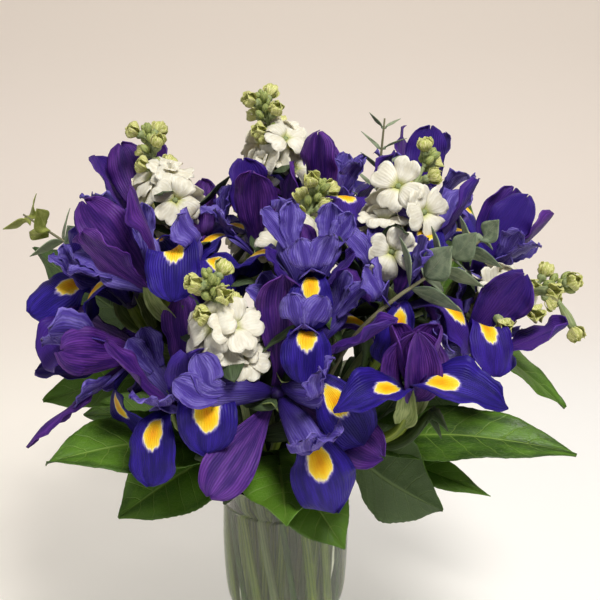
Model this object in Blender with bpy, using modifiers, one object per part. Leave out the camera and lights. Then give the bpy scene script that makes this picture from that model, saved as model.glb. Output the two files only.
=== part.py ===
"""Irises in a vase: blue Dutch irises, white stock, salal leaves and eucalyptus standing in a glass of water.

Metres, +Z up. The origin is the middle of the vase's underside, and the bouquet's front faces -Y.
Every plant stands on its own stem, and every petal and leaf is turned or drawn in until it clears its neighbours.
"""

import math

import bmesh
import bpy
from mathutils import Matrix, Vector
from mathutils.bvhtree import BVHTree

MM = 0.001
GAP = 0.0003
CLEAR = 0.00045

# The vase: radius of its outer side at heights from the rim down to the foot.
VASE_SIDE = [(0.0418, 0.128), (0.0427, 0.100), (0.0428, 0.074), (0.0405, 0.043), (0.0353, 0.030),
             (0.0300, 0.015), (0.0268, 0.004), (0.0250, 0.000)]
RIM = VASE_SIDE[0][1]
WALL = 0.0028
FLOOR = 0.006
HEEL = 0.0155
WATER_TOP = 0.112
TURNS = 28

# Stems stand in four rings: how many, radius at the mouth, radius and height of their cut ends, twist in degrees.
RINGS = [(15, 0.0340, 0.0262, 0.0230, 26), (13, 0.0243, 0.0176, 0.0100, -22),
         (7, 0.0146, 0.0108, 0.0070, 26), (2, 0.0040, 0.0036, 0.0070, -20)]
STEM_RADIUS = {"iris": 0.0029, "stock": 0.0024, "salal": 0.0017, "eucalyptus": 0.0014}
ROUTE_STEPS = 5
EASE_OUT, EASE_IN = 0.9, 0.75
COLLAR = 0.004

# Irises: seat of the bloom in mm, the way the bloom looks, the way its first fall points,
# the turns of its three falls in degrees, how far its standards lean out in degrees, and their size.
EVEN = (0, 120, 240)
IRISES = {
    "01": ((71, -116, 225), (0.02, -0.12, 1), (0, 1, 0), (0, 130, 230), -6, 0.62),
    "02": ((-2, -108, 226), (-0.03, -0.93, 0.35), (-1, 0, 0.1), (0, 125, 183), 55, 1),
    "03": ((14, -88, 276), (0.05, -0.35, 0.94), (0, -1, 0), (0, 148, 214), 25, 0.6),
    "04": ((60, -80, 262), (-0.1, -0.35, 0.93), (-0.8, -0.8, 0), EVEN, 25, 0.6),
    "05": ((-70, -72, 273), (-0.4, -0.3, 0.87), (0.6, -0.75, 0), (0, 140, 225), 10, 1),
    "06": ((-57, -84, 206), (-0.15, -0.35, 0.92), (-0.35, -1, 0), EVEN, 15, 1),
    "07": ((13, -94, 243), (0.05, -0.4, 0.9), (0, -1, -0.4), EVEN, 35, 1),
    "08": ((102, -66, 230), (0.5, -0.2, 0.8), (0.1, -1, 0), (0, 135, 215), 5, 1),
    "09": ((80, -40, 282), (0, -0.15, 1), (0, -1, 0), EVEN, 4, 1),
    "10": ((-94, -30, 254), (-0.35, -0.15, 0.9), (-1, -0.45, 0), EVEN, 5, 1),
    "11": ((-82, -50, 230), (-0.96, -0.2, 0.15), (-0.1, -0.3, 1), EVEN, 5, 1),
    "12": ((-13, -5, 275), (0, -0.1, 1), (0.3, 1, 0), EVEN, 5, 1),
    "13": ((-53, -5, 275), (-0.25, 0, 1), (-0.25, -1, 0), EVEN, 3, 1),
    "14": ((-90, 36, 284), (-0.3, 0.1, 0.95), (-0.2, 1, 0), EVEN, 8, 1),
    "15": ((28, 5, 293), (0.1, 0, 1), (0.3, -1, 0), EVEN, 6, 1),
    "16": ((88, 60, 290), (0.15, 0.2, 0.97), (0, 1, 0), EVEN, 4, 1),
    "17": ((119, -6, 262), (0.5, -0.05, 0.86), (0.3, -1, -0.1), EVEN, 5, 1),
    "18": ((-62, 92, 245), (-0.45, 0.75, 0.5), (-0.3, 0.8, -0.5), EVEN, 15, 1),
    "19": ((50, 105, 240), (0.3, 0.8, 0.5), (0.5, 0.5, -0.5), EVEN, 15, 1),
    "20": ((0, 72, 285), (0, 0.4, 0.9), (0.3, 1, 0), EVEN, 10, 1),
}
# Falls that reach a given place, by bloom and turn: their brow, where the blade starts to hang, and
# their tip in mm, the way the blade faces, and the way the style arm's crest stands, if the arm follows.
AIMED = {
    ("01", 1): ((59, -132, 238), (30, -148, 231), (-0.1, -0.6, 0.8), None),
    ("01", 2): ((78, -132, 241), (115, -142, 231), (0.1, -0.6, 0.8), None),
    ("02", 0): ((-40, -122, 232), (-40, -130, 202), (0, -1, 0.1), (-0.5, -0.2, 0.85)),
    ("02", 1): ((17, -136, 205), (28, -132, 168), (0.1, -1, 0.1), (0.2, -0.5, 0.8)),
    ("02", 2): ((21, -126, 232), (38, -128, 199), (0.2, -1, 0.1), (-0.2, -0.1, 1)),
    ("03", 0): ((16, -112, 292), (15, -120, 268), (0, -0.9, 0.3), (0, 0.1, 1)),
    ("04", 0): ((64, -100, 278), (57, -108, 244), (0.3, -1, 0.1), (-0.3, 0, 1)),
    ("05", 0): ((-53, -94, 302), (-56, -106, 278), (0, -0.9, 0.3), (-0.7, 0.2, 0.7)),
    ("07", 0): ((14, -124, 268), (13, -132, 240), (0, -1, 0.2), (0, 0.1, 1)),
    ("08", 0): ((108, -92, 252), (113, -99, 226), (0.1, -1, 0.2), (0.1, 0, 1)),
    ("09", 0): ((80, -62, 302), (66, -84, 284), (-0.1, -0.8, 0.6), (0.1, 0.1, 1)),
    ("10", 0): ((-122, -45, 272), (-148, -56, 258), (-0.2, -0.8, 0.6), (-0.6, 0, 0.8)),
    ("11", 0): ((-112, -72, 256), (-132, -84, 244), (-0.1, -0.7, 0.7), (-0.9, -0.1, 0.4)),
    ("13", 0): ((-58, -48, 281), (-58, -58, 256), (0, -0.9, 0.3), (-0.3, 0.1, 0.8)),
}
# Stock and eucalyptus: where the florets or leaves start and the tip of the spike, in mm.
STOCKS = {
    "1": ((-26, -100, 236), (-38, -112, 292)),
    "2": ((2, 28, 318), (-15, 28, 377)),
    "3": ((-70, 5, 293), (-90, 30, 356)),
    "4": ((-4, -50, 272), (22, -40, 330)),
    "5": ((50, -60, 282), (90, -12, 346)),
    "6": ((98, -46, 260), (172, -42, 272)),
    "7": ((-20, 110, 240), (-30, 130, 300)),
}
SPRIGS = {
    "1": ((-104, -14, 268), (-163, -10, 308)),
    "2": ((58, 22, 285), (65, 30, 364)),
    "3": ((66, -104, 282), (114, -84, 309)),
}
# Salal: the end of each twig in mm, then its leaves: steps back from the end, tip, width, way the blade faces.
TWIGS = {
    "1": ((-44, -44, 166), [(0, (-133, -108, 184), 56, (-0.2, -0.5, 0.9)), (1, (-92, -84, 128), 52, (-0.3, -0.9, 0.3)),
                           (2, (-62, -74, 246), 56, (-0.2, -1, 0.2))]),
    "2": ((-4, -66, 172), [(0, (3, -140, 162), 54, (0, -0.5, 0.9)), (3, (-10, -90, 225), 46, (0, -1, 0.2)),
                          (1, (36, -104, 128), 46, (0.2, -0.9, 0.4))]),
    "3": ((42, -56, 176), [(0, (171, -90, 182), 42, (0, -0.5, 0.9)), (3, (60, -78, 246), 50, (0, -1, 0.2)),
                           (1, (92, -100, 190), 66, (0.15, -1, 0.2)), (2, (132, -60, 170), 24, (0, -0.6, 0.8))]),
    "4": ((96, 20, 230), [(0, (185, -8, 178), 44, (0.6, -0.3, 0.7)), (3, (93, -70, 207), 50, (0, -1, 0.2)),
                          (1, (134, 90, 300), 42, (0.6, -0.8, 0.2))]),
    "5": ((-84, 2, 226), [(0, (-132, 34, 316), 40, (-0.3, -0.9, 0.2)), (1, (-171, 16, 250), 46, (-0.4, -0.7, 0.6)),
                          (2, (-156, -24, 198), 52, (-0.3, -0.6, 0.8)), (4, (-100, -60, 225), 50, (0, -1, 0.2))]),
    "6": ((-40, 64, 180), [(0, (-128, 108, 172), 56, (-0.3, 0.5, 0.9)), (1, (-30, 148, 166), 56, (0, 0.5, 0.9))]),
    "7": ((46, 66, 182), [(0, (132, 108, 172), 56, (0.3, 0.5, 0.9)), (1, (40, 150, 166), 54, (0, 0.5, 0.9))]),
}

# A petal's stations: distance out, height and half width in mm, in the bloom's own frame.
FALL = [(12, 10, 3.6), (26, 18, 5.5), (40, 13, 15), (51, -5, 7)]
STYLE = [(13, 16, 3.6), (25, 26, 5.5), (34, 42, 5)]
STANDARD = [(7, 15, 3.2), (11, 33, 11), (13, 50, 14), (14, 64, 4)]
# An aimed fall and its style arm: share of the way to the brow at their first station, how far they rise
# off the straight line in mm, how far down the blade is widest, and the length of the crest in mm.
HAFT_SHARE, HAFT_RISE, ARM_RISE = 0.45, 4, 9
WIDEST_SHARE, BLADE_RISE, CREST = 0.45, 4, 18
# Style arms of a bloom that is still shut lean in by this many degrees.
SHUT_TILT = -32
HEART_RADIUS = 0.0042
HEART_LEVEL = 0.0034
BLADE_HALF = 0.0006

# A floret's and a bud's reach and half width, a leaf's outline as shares of its length and of its width.
SPIKE_STEPS = 6
FLORET, BUD = (0.022, 0.0115), (0.014, 0.0038)
FLORET_HALF = 0.003
STALK_HALF = 0.0011
SALAL_OUTLINE = [(0.1, 0.02), (0.28, 0.36), (0.52, 0.5), (0.8, 0.34), (1.0, 0.03)]
SALAL_ARCH = 0.08
GUM_LEAF = 0.026
GUM_OUTLINE = [(0.15, 0.035), (0.6, 0.36), (1.0, 0.08)]

# What is tried to clear the neighbours: pitch and yaw in degrees and size, the smallest changes first.
TRIES = sorted(
    ((pitch, yaw, size) for size in (1, 0.88, 0.76, 0.64, 0.5, 0.36, 0.24)
     for pitch in (0, 8, -8, 16, -16, 26, -26, 38, -38) for yaw in (0, 9, -9, 18, -18, 30, -30)),
    key=lambda change: abs(change[0]) / 10 + abs(change[1]) / 9 + (1 - change[2]) * 11,
)
EASES = sorted(((a / 10, b / 10) for a in range(3, 16, 2) for b in range(3, 16, 2)),
               key=lambda ease: abs(ease[0] - EASE_OUT) + abs(ease[1] - EASE_IN))
NECK_SHARE = 1.15

COLOURS = {
    "glass": ((0.86, 0.92, 0.88), 0.05),
    "water": ((0.50, 0.56, 0.40), 0.1),
    "iris_stem": ((0.16, 0.27, 0.07), 0.5),
    "iris_petal": ((0.08, 0.03, 0.32), 0.5),
    "stock": ((0.85, 0.83, 0.72), 0.6),
    "salal": ((0.09, 0.20, 0.04), 0.4),
    "eucalyptus": ((0.30, 0.38, 0.30), 0.7),
}


def clear_scene():
    for obj in list(bpy.data.objects):
        bpy.data.objects.remove(obj, do_unlink=True)


def collection(name, hidden=False):
    made = bpy.data.collections.new(name)
    made.hide_render = hidden
    bpy.context.scene.collection.children.link(made)
    return made


def material(name):
    if name in bpy.data.materials:
        return bpy.data.materials[name]
    made = bpy.data.materials.new(name)
    made.use_nodes = True
    shader = made.node_tree.nodes["Principled BSDF"]
    colour, roughness = COLOURS[name]
    shader.inputs["Base Color"].default_value = (*colour, 1)
    shader.inputs["Roughness"].default_value = roughness
    return made


def add_object(name, data, folder, finish=None):
    obj = bpy.data.objects.new(name, data)
    folder.objects.link(obj)
    if finish:
        data.materials.append(material(finish))
    return obj


def mesh_from(bm, name):
    bmesh.ops.recalc_face_normals(bm, faces=bm.faces)
    mesh = bpy.data.meshes.new(name)
    bm.to_mesh(mesh)
    bm.free()
    return mesh


def mm(point):
    return Vector(point) * MM


# ---- the vase and its water ----


def radius_at(height):
    """Outer radius of the vase at a height."""
    for (r1, z1), (r0, z0) in zip(VASE_SIDE, VASE_SIDE[1:]):
        if z0 <= height <= z1:
            return r0 + (r1 - r0) * (height - z0) / (z1 - z0)
    return VASE_SIDE[0][0]


def turned(name, profile, folder, finish):
    """A closed shape turned about Z from (radius, height) points that run down its outer side."""
    bm = bmesh.new()
    verts = [bm.verts.new((r, 0, z)) for r, z in profile]
    for a, b in zip(verts, verts[1:]):
        bm.edges.new((a, b))
    mesh = bpy.data.meshes.new(name)
    bm.to_mesh(mesh)
    bm.free()
    obj = add_object(name, mesh, folder, finish)
    screw = obj.modifiers.new("Turn", "SCREW")
    screw.steps = screw.render_steps = TURNS
    screw.use_merge_vertices = True
    screw.merge_threshold = 0.00005
    return obj


def inner_side(inset):
    """The vase's inner side from the rim to the heel, drawn in by an inset."""
    heights = [z for _, z in VASE_SIDE if z > HEEL] + [HEEL]
    return [(radius_at(z) - WALL - inset, z) for z in heights]


def build_vase(folder):
    inside = [(0, FLOOR), (radius_at(FLOOR) - WALL - 0.001, FLOOR)] + inner_side(0)[::-1]
    return turned("vase", inside + VASE_SIDE + [(0, 0)], folder, "glass")


def build_water(folder, cutter):
    """Water up to its level, with a hole for each stem that stands in it."""
    side = [(r, z) for r, z in inner_side(GAP) if z < WATER_TOP]
    surface = [(0, WATER_TOP), (radius_at(WATER_TOP) - WALL - GAP, WATER_TOP)]
    foot = [(radius_at(FLOOR) - WALL - 0.0014, FLOOR + GAP), (0, FLOOR + GAP)]
    water = turned("water", surface + side + foot, folder, "water")
    cut = water.modifiers.new("Stem holes", "BOOLEAN")
    cut.operation = "DIFFERENCE"
    cut.object = cutter


def build_cutter(routes, folder):
    """One mesh of the holes for all the stems, each wide enough to clear its stem whichever way its sides lie."""
    sides = 8
    bm = bmesh.new()
    for name, points in routes.items():
        radius = (STEM_RADIUS[name.split("_")[0]] + GAP) / math.cos(math.pi / sides)
        foot, mouth = points[:2]
        rise = (mouth - foot).normalized()
        through = foot.z < RINGS[1][3] + GAP
        low = foot - rise * (foot.z / rise.z if through else 2 * GAP)
        side = rise.orthogonal().normalized()
        start_prism(bm, round_ring(low, rise, side, radius, sides), round_ring(mouth, rise, side, radius, sides))
    cutter = add_object("stem_holes", mesh_from(bm, "stem_holes"), folder)
    cutter.hide_render = True
    cutter.display_type = "WIRE"
    return cutter


# ---- growing shapes by extrusion ----


def round_ring(centre, forward, side, radius, sides):
    """Points round a centre, anticlockwise seen from ahead."""
    other = forward.cross(side)
    turns = [2 * math.pi * (k + 0.5) / sides for k in range(sides)]
    return [centre + radius * (math.cos(t) * side + math.sin(t) * other) for t in turns]


def flat_ring(centre, forward, across, half_width, half_thick):
    """The four corners of a thin cross-section, anticlockwise seen from ahead."""
    other = forward.cross(across).normalized()
    corners = [(1, 1), (-1, 1), (-1, -1), (1, -1)]
    return [centre + a * half_width * across + b * half_thick * other for a, b in corners]


def matched(ring, face):
    """The ring's points in the order in which they lie nearest to the face's corners."""
    turns = [ring[k:] + ring[:k] for k in range(len(ring))]
    return min(turns, key=lambda turn: sum((v.co - p).length_squared for v, p in zip(face.verts, turn)))


def grow(bm, face, rings):
    """Extrudes a face through rings of corners, and returns the end face and the side faces of each step."""
    steps = []
    for ring in rings:
        face = bmesh.ops.extrude_discrete_faces(bm, faces=[face])["faces"][0]
        for vert, place in zip(face.verts, matched(ring, face)):
            vert.co = place
        steps.append([f for e in face.edges for f in e.link_faces if f is not face])
    return face, steps


def start_prism(bm, first, second):
    """A prism between two rings, and its end face."""
    count = len(first)
    made = bmesh.ops.create_cone(bm, cap_ends=True, segments=count, radius1=1, radius2=1, depth=2)
    caps = {f for v in made["verts"] for f in v.link_faces if abs(f.normal.z) > 0.5}
    top = max(caps, key=lambda f: f.normal.z)
    corners = list(top.verts)
    below = [next(e.other_vert(v) for e in v.link_edges if e.other_vert(v) not in corners) for v in corners]
    for k in range(count):
        corners[k].co = second[k]
        below[k].co = first[k]
    return top


def frames(points, heading=None):
    """The way ahead and a side direction at each point of a route, turning as little as it can."""
    made, side = [], None
    for i, point in enumerate(points):
        ahead = (points[min(i + 1, len(points) - 1)] - points[max(i - 1, 0)]).normalized()
        if heading and i == len(points) - 1:
            ahead = heading.normalized()
        side = side or ahead.orthogonal()
        side = (side - side.dot(ahead) * ahead).normalized()
        made.append((point, ahead, side))
    return made


def tube_rings(points, radii, sides, heading=None):
    return [round_ring(p, ahead, side, r, sides) for (p, ahead, side), r in zip(frames(points, heading), radii)]


def tube(rings):
    """A bmesh of a closed tube through rings, with its end face and the side faces of each of its steps."""
    bm = bmesh.new()
    top = start_prism(bm, rings[0], rings[1])
    first = [f for e in top.edges for f in e.link_faces if f is not top]
    end, steps = grow(bm, top, rings[2:])
    bm.normal_update()
    return bm, end, [first] + steps


# ---- keeping pieces clear of each other ----


def box_of(verts):
    return [min(v[k] for v in verts) for k in range(3)], [max(v[k] for v in verts) for k in range(3)]


def skin(rings):
    """Vertices and faces of the closed surface through rings of equal length."""
    count = len(rings[0])
    verts = [p for ring in rings for p in ring]
    last = len(verts) - count
    faces = [list(range(count))[::-1], list(range(last, last + count))]
    for a in range(0, last, count):
        b = a + count
        faces += [[a + i, a + (i + 1) % count, b + (i + 1) % count, b + i] for i in range(count)]
    return verts, faces


class Placed:
    """Everything placed so far, as trees that a new piece is tested against."""

    def __init__(self):
        self.pieces = []

    def add(self, owner, rings):
        self.add_surface(owner, *skin(rings))

    def add_surface(self, owner, verts, faces):
        low, high = box_of(verts)
        self.pieces.append((owner, low, high, BVHTree.FromPolygons(verts, faces)))

    def block(self, rings, owner=None):
        """Whether the surface through rings meets anything placed, apart from what its owner already has."""
        verts, faces = skin(rings)
        low, high = box_of(verts)
        tree = BVHTree.FromPolygons(verts, faces)
        for holder, a, b, other in self.pieces:
            near = all(low[k] <= b[k] and a[k] <= high[k] for k in range(3))
            if near and holder != owner and other.overlap(tree):
                return True
        return False


def blade(base, acrosses, stations, half_thick):
    """Rings of a thin blade: each station is a centre and a half width, with the way across it."""
    centres = [base] + [centre for centre, _ in stations]
    rings = []
    for k, ((centre, half), across) in enumerate(zip(stations, acrosses), 1):
        ahead = (centres[min(k + 1, len(stations))] - centres[k - 1]).normalized()
        side = (across - across.dot(ahead) * ahead).normalized()
        rings.append(flat_ring(centre, ahead, side, half, half_thick))
    return rings


def turned_rings(rings, base, across, up, pitch, yaw, size):
    turn = Matrix.Rotation(math.radians(yaw), 3, up) @ Matrix.Rotation(math.radians(pitch), 3, across)
    return [[base + turn @ ((p - base) * size) for p in ring] for ring in rings]


def fit_blade(bm, face, acrosses, up, stations, half_thick, placed, owner):
    """Grows a thin blade from a face, turned and drawn in by as little as clears everything placed so far."""
    base = face.calc_center_median()
    corners = [base + (v.co - base) * NECK_SHARE for v in face.verts]
    wider = [(centre, half + CLEAR) for centre, half in stations]
    plain = blade(base, acrosses, stations, half_thick)
    thick = blade(base, acrosses, wider, half_thick + CLEAR)

    def is_free(change):
        tried = turned_rings(thick, base, acrosses[0], up, *change)
        neck = [corners, matched(tried[0], face)]
        return not placed.block(tried) and not placed.block(neck, owner)

    change = next(filter(is_free, TRIES), TRIES[-1])
    rings = turned_rings(plain, base, acrosses[0], up, *change)
    placed.add(owner, [corners, matched(rings[0], face)])
    placed.add(owner, rings)
    grow(bm, face, rings)


# ---- stems ----


def slots(ends):
    """Where each stem stands: plants that lean out most take the outer ring, in order round the vase."""
    waiting = sorted(ends, key=lambda name: math.atan2(ends[name].xy.length, ends[name].z - RIM), reverse=True)
    placed = {}
    for count, mouth, foot, height, twist in RINGS:
        ring = sorted(waiting[:count], key=lambda name: math.atan2(ends[name].y, ends[name].x))
        waiting = waiting[count:]
        step = 2 * math.pi / count
        offs = [math.atan2(ends[name].y, ends[name].x) - k * step for k, name in enumerate(ring)]
        shift = math.atan2(sum(map(math.sin, offs)), sum(map(math.cos, offs)))
        for k, name in enumerate(ring):
            top = k * step + shift
            low = top + math.radians(twist)
            placed[name] = (Vector((foot * math.cos(low), foot * math.sin(low), height)),
                            Vector((mouth * math.cos(top), mouth * math.sin(top), RIM)))
    return placed


def route(slot, seat, heading, ease_out=EASE_OUT, ease_in=EASE_IN):
    """A stem's route: straight up to the mouth, then one smooth curve that arrives at its seat along its heading."""
    foot, mouth = slot
    way = heading.normalized()
    end = seat - way * COLLAR
    reach = (end - mouth).length
    start, stop = (mouth - foot).normalized() * reach * ease_out, way * reach * ease_in
    points = [foot]
    for k in range(ROUTE_STEPS + 1):
        t = k / ROUTE_STEPS
        points.append((2 * t**3 - 3 * t**2 + 1) * mouth + (t**3 - 2 * t**2 + t) * start
                      + (3 * t**2 - 2 * t**3) * end + (t**3 - t**2) * stop)
    return points + [seat]


def build_stem(name, slot, seat, heading, folder, placed):
    """An iris stem on the first route that is free, thicker where the green tube under the bloom is."""
    radius = STEM_RADIUS["iris"]
    swell = [1] * (ROUTE_STEPS + 1) + [1.35, 1.2]
    for ease in EASES:
        points = route(slot, seat, heading, *ease)
        if not placed.block(tube_rings(points, [radius * s + CLEAR for s in swell], 6, heading)):
            break
    placed.add(name, tube_rings(points, [radius * s for s in swell], 6, heading))
    curve = bpy.data.curves.new(name, "CURVE")
    curve.dimensions = "3D"
    curve.bevel_depth = radius
    curve.bevel_resolution = 1
    curve.use_fill_caps = True
    spline = curve.splines.new("POLY")
    spline.points.add(len(points) - 1)
    for spot, place, share in zip(spline.points, points, swell):
        spot.co = (*place, 1)
        spot.radius = share
    add_object(name, curve, folder, "iris_stem")


# ---- irises ----


def bloom_frame(spec):
    """A bloom's seat, its axis and the way its first fall points, square to the axis."""
    seat, axis, first = mm(spec[0]), Vector(spec[1]).normalized(), Vector(spec[2])
    return seat, axis, (first - first.dot(axis) * axis).normalized()


def heart_rings(seat, axis, forward):
    base = seat + axis * GAP
    return [round_ring(base + axis * level * HEART_LEVEL, axis, forward, HEART_RADIUS, 6) for level in range(3)]


def facing(faces, centre, axis, way):
    """The face, of those not grown from yet, whose outward side points most nearly one way."""
    def score(face):
        out = face.calc_center_median() - centre
        return (out - out.dot(axis) * axis).normalized().dot(way)

    return max((face for face in faces if face.is_valid), key=score)


def petal_stations(base, out, axis, shape, lean):
    turn = Matrix.Rotation(math.radians(lean), 3, axis.cross(out))
    return [(base + turn @ (out * r + axis * z) * MM, half * MM) for r, z, half in shape]


def aimed_fall(seat, axis, brow, tip, way):
    """Stations of a fall that runs out to its brow and hangs from there to its tip, and the way across each."""
    haft, hang = brow - seat, tip - brow
    places = [seat + haft * HAFT_SHARE + axis * HAFT_RISE * MM, brow,
              brow + hang * WIDEST_SHARE + way * BLADE_RISE * MM, tip]
    turning = (haft.normalized() + hang.normalized()).cross(axis + way)
    acrosses = [haft.cross(axis), turning, hang.cross(way), hang.cross(way)]
    return [(place, half * MM) for place, (_, _, half) in zip(places, FALL)], acrosses


def aimed_arm(seat, axis, brow, way, crest):
    """Stations of the style arm over an aimed fall, with its crest standing one way, and the way across each."""
    haft = brow - seat
    lift = (axis + way).normalized()
    places = [seat + haft * HAFT_SHARE + axis * ARM_RISE * MM, brow + lift * ARM_RISE * MM]
    places.append(places[-1] + crest * CREST * MM)
    return [(place, half * MM) for place, (_, _, half) in zip(places, STYLE)], [haft.cross(lift)] * len(STYLE)


def build_bloom(name, spec, placed, folder):
    """A bloom: a six-sided heart on two levels, with falls and standards from the lower one and style arms above."""
    seat, axis, forward = bloom_frame(spec)
    falls, lean, size = spec[3:]
    bm, _, (lower, upper) = tube(heart_rings(seat, axis, forward))
    arm_tilt, arm_size = (SHUT_TILT, size) if lean < 0 else (0, 1)

    def grown(faces, even, stations, acrosses):
        face = facing(faces, seat, axis, Matrix.Rotation(math.radians(even), 3, axis) @ forward)
        fit_blade(bm, face, acrosses, axis, stations, BLADE_HALF, placed, name)

    def petal(faces, even, turn, shape, tilt=0, share=1):
        out = Matrix.Rotation(math.radians(turn), 3, axis) @ forward
        stations = petal_stations(seat, out, axis, [[share * value for value in row] for row in shape], tilt)
        grown(faces, even, stations, [out.cross(axis)] * len(stations))

    for k, (even, turn) in enumerate(zip(EVEN, falls)):
        brow, tip, way, crest = AIMED.get((name[-2:], k), (None,) * 4)
        if brow:
            grown(lower, even, *aimed_fall(seat, axis, mm(brow), mm(tip), Vector(way).normalized()))
        else:
            petal(lower, even, turn, FALL)
        if crest:
            grown(upper, even, *aimed_arm(seat, axis, mm(brow), Vector(way).normalized(), Vector(crest).normalized()))
        else:
            petal(upper, even, turn, STYLE, arm_tilt, arm_size)
    for k, even in enumerate(EVEN):
        gap = (falls[(k + 1) % 3] - falls[k]) % 360
        petal(lower, even + 60, falls[k] + gap / 2, STANDARD, lean, size)
    add_object(name, mesh_from(bm, name), folder, "iris_petal")


# ---- stock, eucalyptus and salal ----


def spike_rings(kind, points, tip):
    """The rings of a stem that goes on from its route to a tip, growing thinner."""
    radius = STEM_RADIUS[kind]
    shares = [(k + 1) / SPIKE_STEPS for k in range(SPIKE_STEPS)]
    line = points + [points[-1].lerp(tip, share) for share in shares]
    radii = [radius] * len(points) + [radius * (1 - 0.5 * share) for share in shares]
    return tube_rings(line, radii, 4)


def twig_rings(points):
    return tube_rings(points, [STEM_RADIUS["salal"]] * len(points), 4)


def middle(ring):
    return sum(ring, Vector()) / len(ring)


def spike_places(rings):
    """A spike's bmesh, its axis, and the opposite side faces of each of its steps, turned a quarter each step."""
    bm, _, sides = tube(rings)
    axis = (middle(rings[-1]) - middle(rings[-1 - SPIKE_STEPS])).normalized()
    steps = [(ring[k % 2], ring[k % 2 + 2]) for k, ring in enumerate(sides[-SPIKE_STEPS:])]
    return bm, axis, [(k, face) for k, pair in enumerate(steps) for face in pair]


def side_blade(bm, face, axis, rise, size, outline, half_thick, placed, owner):
    """A leaf or a floret from the side of a spike, given as shares of its size: distance out and half width."""
    face.normal_update()
    out = (face.normal - face.normal.dot(axis) * axis).normalized()
    ahead = (out + axis * rise).normalized()
    base = face.calc_center_median()
    stations = [(base + ahead * size * far, size * half) for far, half in outline]
    fit_blade(bm, face, [out.cross(axis)] * len(stations), axis, stations, half_thick, placed, owner)


def build_stock(name, rings, folder, placed):
    """A stock spike: a stem with florets on short stalks, then buds towards its tip."""
    bm, axis, places = spike_places(rings)
    for k, face in places:
        reach, half = BUD if k >= SPIKE_STEPS // 2 else FLORET
        outline = [(0.45, STALK_HALF / reach), (0.6, half / reach), (1, 0.8 * half / reach)]
        side_blade(bm, face, axis, 0.75, reach, outline, FLORET_HALF, placed, name)
    add_object(name, mesh_from(bm, name), folder, "stock")


def build_sprig(name, rings, folder, placed):
    """A eucalyptus sprig: opposite pairs of leaves, smaller towards the tip."""
    bm, axis, places = spike_places(rings)
    for k, face in places:
        side_blade(bm, face, axis, 0.6, GUM_LEAF * (1 - 0.09 * k), GUM_OUTLINE, BLADE_HALF, placed, name)
    add_object(name, mesh_from(bm, name), folder, "eucalyptus")


def build_twig(name, rings, leaves, folder, placed):
    """A salal twig with its leaves: one from its end, the others from its sides further down."""
    bm, end, sides = tube(rings)
    for back, tip, width, way in leaves:
        tip, way = mm(tip), Vector(way)
        face = end
        if back:
            bm.normal_update()
            face = max(sides[-back - 1], key=lambda f: (tip - f.calc_center_median()).normalized().dot(f.normal))
        base = face.calc_center_median()
        run = tip - base
        up = (way - way.dot(run) * run / run.length_squared).normalized()
        stations = [(base + run * share + up * run.length * SALAL_ARCH * math.sin(math.pi * share),
                     max(STALK_HALF, width * MM * half)) for share, half in SALAL_OUTLINE]
        fit_blade(bm, face, [run.cross(up).normalized()] * len(stations), up, stations, BLADE_HALF, placed, name)
    add_object(name, mesh_from(bm, name), folder, "salal")


# ---- the whole bouquet ----


def all_plants():
    """Each plant's name, where its stem ends and the way it heads there."""
    plants = {f"iris_{k}": (mm(seat), Vector(axis)) for k, (seat, axis, *_) in IRISES.items()}
    for kind, spikes in (("stock", STOCKS), ("eucalyptus", SPRIGS)):
        plants |= {f"{kind}_{k}": (mm(base), mm(tip) - mm(base)) for k, (base, tip) in spikes.items()}
    return plants | {f"salal_{k}": (mm(end), mm(end) - Vector((0, 0, RIM))) for k, (end, _) in TWIGS.items()}


def main():
    clear_scene()
    parts, cutters = collection("Irises in a vase"), collection("Cutters", hidden=True)
    plants = all_plants()
    places = slots({name: end for name, (end, _) in plants.items()})
    routes = {name: route(places[name], *plants[name]) for name in plants}
    stocks = {f"stock_{k}": spike_rings("stock", routes[f"stock_{k}"], mm(tip)) for k, (_, tip) in STOCKS.items()}
    sprigs = {f"eucalyptus_{k}": spike_rings("eucalyptus", routes[f"eucalyptus_{k}"], mm(tip))
              for k, (_, tip) in SPRIGS.items()}
    twigs = {f"salal_{k}": twig_rings(routes[f"salal_{k}"]) for k in TWIGS}

    placed = Placed()
    vase = build_vase(parts)
    build_water(parts, build_cutter(routes, cutters))
    bpy.context.view_layer.update()
    shown = vase.evaluated_get(bpy.context.evaluated_depsgraph_get()).to_mesh()
    placed.add_surface("vase", [v.co.copy() for v in shown.vertices], [list(p.vertices) for p in shown.polygons])
    for name, rings in (stocks | sprigs | twigs).items():
        placed.add(name, rings)
    for k in IRISES:
        build_stem(f"iris_stem_{k}", places[f"iris_{k}"], *plants[f"iris_{k}"], parts, placed)
    for k, spec in IRISES.items():
        placed.add(f"iris_bloom_{k}", heart_rings(*bloom_frame(spec)))
    for name, rings in stocks.items():
        build_stock(name, rings, parts, placed)
    for name, rings in sprigs.items():
        build_sprig(name, rings, parts, placed)
    for k, spec in IRISES.items():
        build_bloom(f"iris_bloom_{k}", spec, placed, parts)
    for k, (_, leaves) in TWIGS.items():
        build_twig(f"salal_{k}", twigs[f"salal_{k}"], leaves, parts, placed)


main()
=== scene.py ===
"""Looks of the irises in a vase: petals, leaves, stems, glass and water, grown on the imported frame.

Metres, +Z up, the bouquet's front towards -Y. A petal or leaf that the frame has follows its blade there.
Crests, strap leaves, side florets and the like are extra, and grow from the frame's stems and blades.
"""

import itertools
import math
import random

import bmesh
import bpy
from mathutils import Matrix, Vector


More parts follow.
